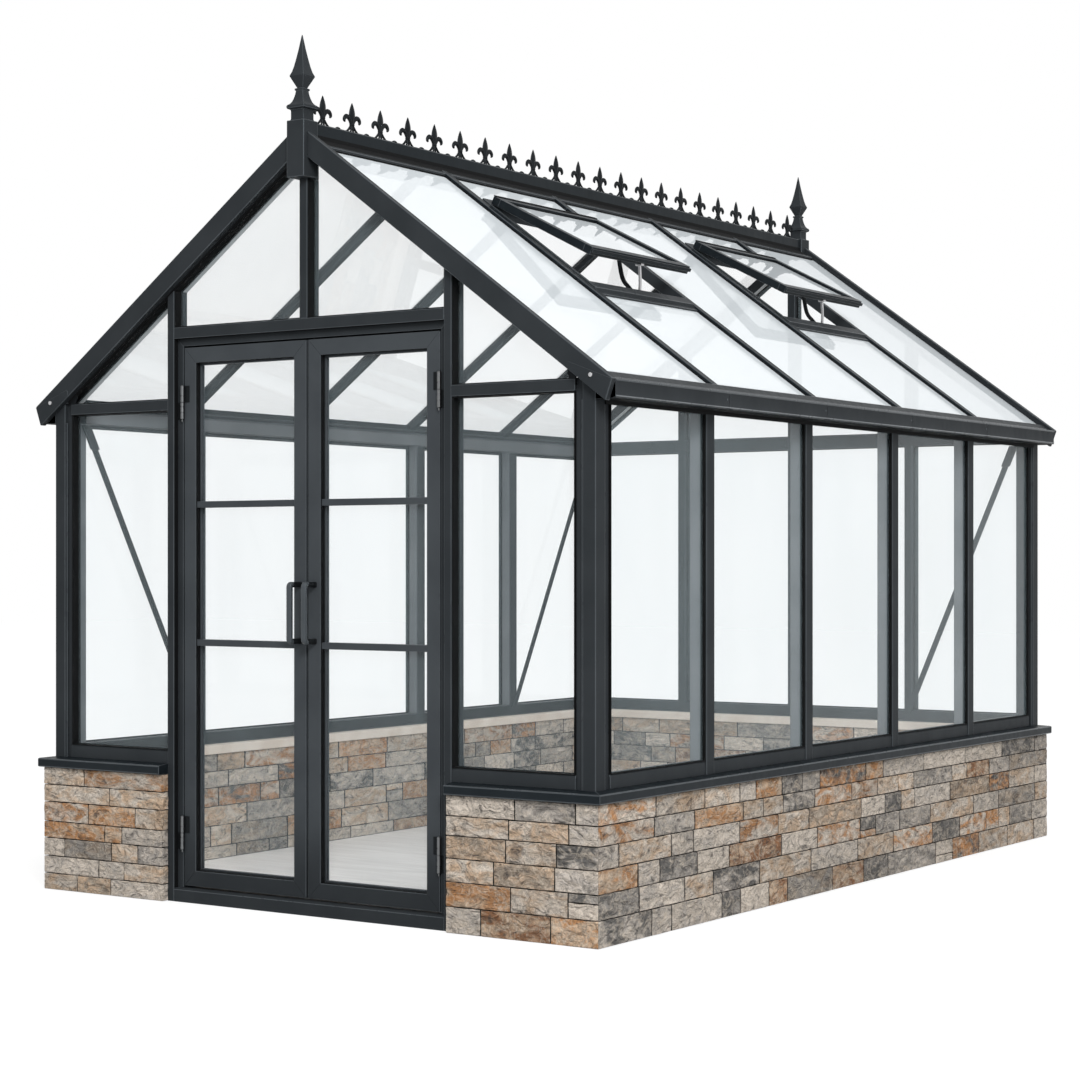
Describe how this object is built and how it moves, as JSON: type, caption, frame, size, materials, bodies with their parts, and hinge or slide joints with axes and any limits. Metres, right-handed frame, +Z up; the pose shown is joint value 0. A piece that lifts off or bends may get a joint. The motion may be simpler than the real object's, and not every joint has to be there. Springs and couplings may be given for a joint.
{
  "type": "glass greenhouse",
  "caption": "Victorian glass greenhouse on a stone-clad dwarf wall, with double doors, open roof vents, ridge cresting and finials.",
  "frame": {"origin": "ground level under the centre of the building", "axes": "+X to the right seen from the doors, +Y to the back, +Z up"},
  "size_m": [2.662, 3.876, 3.165],
  "materials": {
    "frame": "anthracite powder coat, satin",
    "stone": "split-face stone cladding in greys, buff and tan",
    "coping": "sawn pale stone",
    "floor": "smooth pale grey paving",
    "glass": "clear toughened glass",
    "ornament": "painted casting, satin",
    "handle": "black powder coat",
    "hinge": "brushed stainless"
  },
  "bodies": {
    "building": {"back_glass": "glass", "back_posts": "frame", "barge_boards": "frame", "bottom_rails": "frame", "corner_posts": "frame", "door_frame": "frame", "door_header": "frame", "door_posts": "frame", "door_threshold": "frame", "dwarf_wall_back": "stone", "dwarf_wall_front": "stone", "dwarf_wall_left": "stone", "dwarf_wall_right": "stone", "eave_bars": "frame", "eave_plates": "frame", "finials": "ornament", "floor_slab": "floor", "front_glass": "glass", "front_king_mullion": "frame", "gable_rafters": "frame", "gutters": "frame", "hinge_pins": "hinge", "inner_coping": "coping", "left_glass": "glass", "left_mullions": "frame", "left_roof_bars": "frame", "left_roof_glass": "glass", "ridge_beam": "frame", "ridge_blocks": "frame", "ridge_cresting": "ornament", "right_glass": "glass", "right_mullions": "frame", "right_roof_bars": "frame", "right_roof_glass": "glass", "tie_beams": "frame", "vent_curbs": "frame", "vent_frames": "frame", "vent_glass": "glass", "vent_stays": "frame", "wall_braces": "frame", "window_sills": "frame"},
    "left_door": {"left_door_leaf": "frame", "left_door_glass": "glass", "left_door_handle": "handle", "left_door_hinges": "hinge"},
    "right_door": {"right_door_leaf": "frame", "right_door_glass": "glass", "right_door_handle": "handle", "right_door_hinges": "hinge"}
  },
  "joints": [
    {"name": "left_door_hinge", "type": "hinge", "parent": "building", "child": "left_door", "pos_m": [-0.5975, -1.876, 0.195], "axis": [0, 0, -1], "range_deg": [0, 100]},
    {"name": "right_door_hinge", "type": "hinge", "parent": "building", "child": "right_door", "pos_m": [0.5975, -1.876, 0.195], "axis": [0, 0, 1], "range_deg": [0, 100]}
  ]
}
